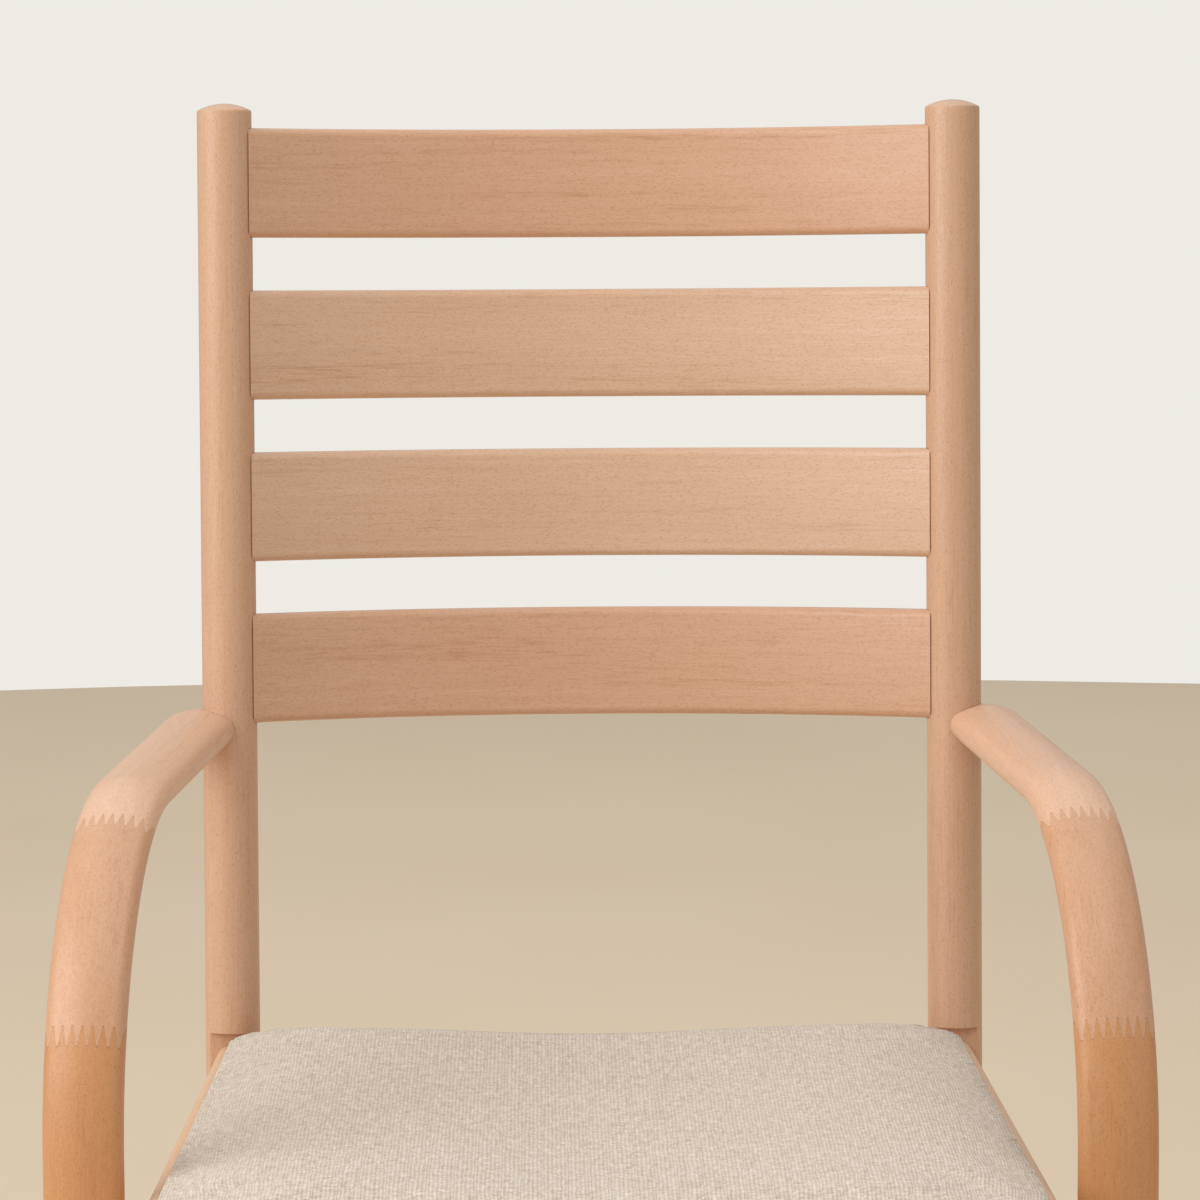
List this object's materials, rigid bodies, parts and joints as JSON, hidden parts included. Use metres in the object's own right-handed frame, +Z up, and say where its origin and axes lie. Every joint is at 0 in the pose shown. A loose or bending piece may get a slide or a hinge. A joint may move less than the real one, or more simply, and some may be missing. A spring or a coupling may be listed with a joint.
{
  "type": "wooden armchair",
  "caption": "Wooden armchair with round back posts, curved ladder-back slats, bent flat-oval arms running into the front legs, and an upholstered seat.",
  "frame": {"origin": "on the floor under the middle of the chair's box", "axes": "+Z up, -Y the way the chair faces, +X towards the sitter's left hand"},
  "size_m": [0.5446, 0.5426, 0.9379],
  "materials": {
    "post_wood": "satin oiled beech",
    "slat_wood": "satin oiled beech",
    "arm_wood": "satin oiled beech",
    "corner_wood": "satin oiled beech, a paler piece",
    "leg_wood": "satin oiled beech, a warmer piece",
    "rail_wood": "satin oiled beech",
    "block_wood": "plain sanded beech",
    "plywood": "raw plywood",
    "foam": "open cell foam",
    "seat_fabric": "woven rib in beige",
    "dust_cloth": "thin black non-woven cloth",
    "glide_nylon": "matt nylon",
    "zinc_steel": "zinc plated"
  },
  "bodies": {
    "root": {"arm_corner_left": "corner_wood", "arm_corner_right": "corner_wood", "arm_plugs": "block_wood", "arm_rail_left": "arm_wood", "arm_rail_right": "arm_wood", "arm_screws": "zinc_steel", "back_rail": "rail_wood", "back_slat_1": "slat_wood", "back_slat_2": "slat_wood", "back_slat_3": "slat_wood", "back_slat_4": "slat_wood", "barrel_nuts": "zinc_steel", "block_screws": "zinc_steel", "corner_block_front_left": "block_wood", "corner_block_front_right": "block_wood", "corner_block_rear_left": "block_wood", "corner_block_rear_right": "block_wood", "cover_staples": "zinc_steel", "dust_cover": "dust_cloth", "foot_glides": "glide_nylon", "frame_screws": "zinc_steel", "front_cross_rail": "rail_wood", "front_leg_left": "leg_wood", "front_leg_right": "leg_wood", "front_rail": "rail_wood", "leg_dowels": "block_wood", "rail_dowels": "block_wood", "rear_post_left": "post_wood", "rear_post_right": "post_wood", "rear_rail": "rail_wood", "seat_board": "plywood", "seat_cover": "seat_fabric", "seat_foam": "foam", "seat_screws": "zinc_steel", "side_rail_bolts": "zinc_steel", "side_rail_left": "rail_wood", "side_rail_right": "rail_wood"}
  },
  "joints": []
}
